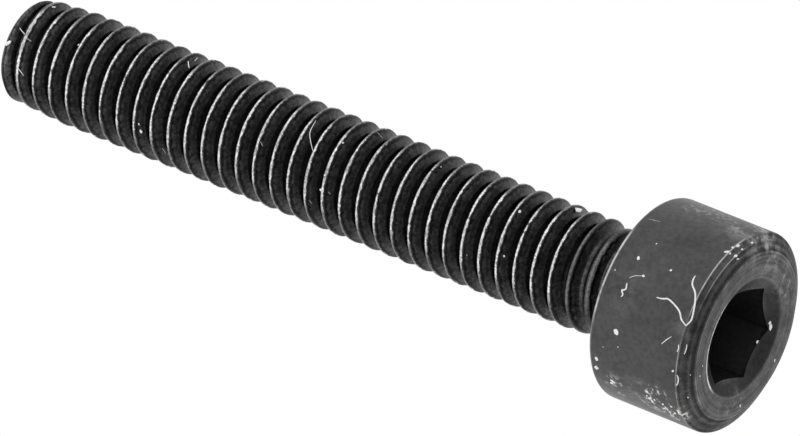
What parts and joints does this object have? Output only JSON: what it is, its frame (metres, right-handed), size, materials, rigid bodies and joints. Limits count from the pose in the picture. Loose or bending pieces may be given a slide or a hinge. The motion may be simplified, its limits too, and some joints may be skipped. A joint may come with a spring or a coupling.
{
  "type": "socket head cap screw",
  "caption": "Fully threaded hex socket head cap screw with a plain cylindrical head, a chamfered socket face and a black oxide finish.",
  "frame": {"origin": "on the screw's axis, in the plane of the socket face that the screw stands on", "axes": "+Z along the axis from the socket face to the threaded point; one pair of socket flats is square to Y and two socket corners lie on X"},
  "size_m": [0.0068, 0.0068, 0.029],
  "materials": {
    "black_oxide_steel": "black oxide on alloy steel, semi-matt, worn bright on the thread crests and the head's edges"
  },
  "bodies": {
    "root": {"cap_screw": "black_oxide_steel"}
  },
  "joints": []
}
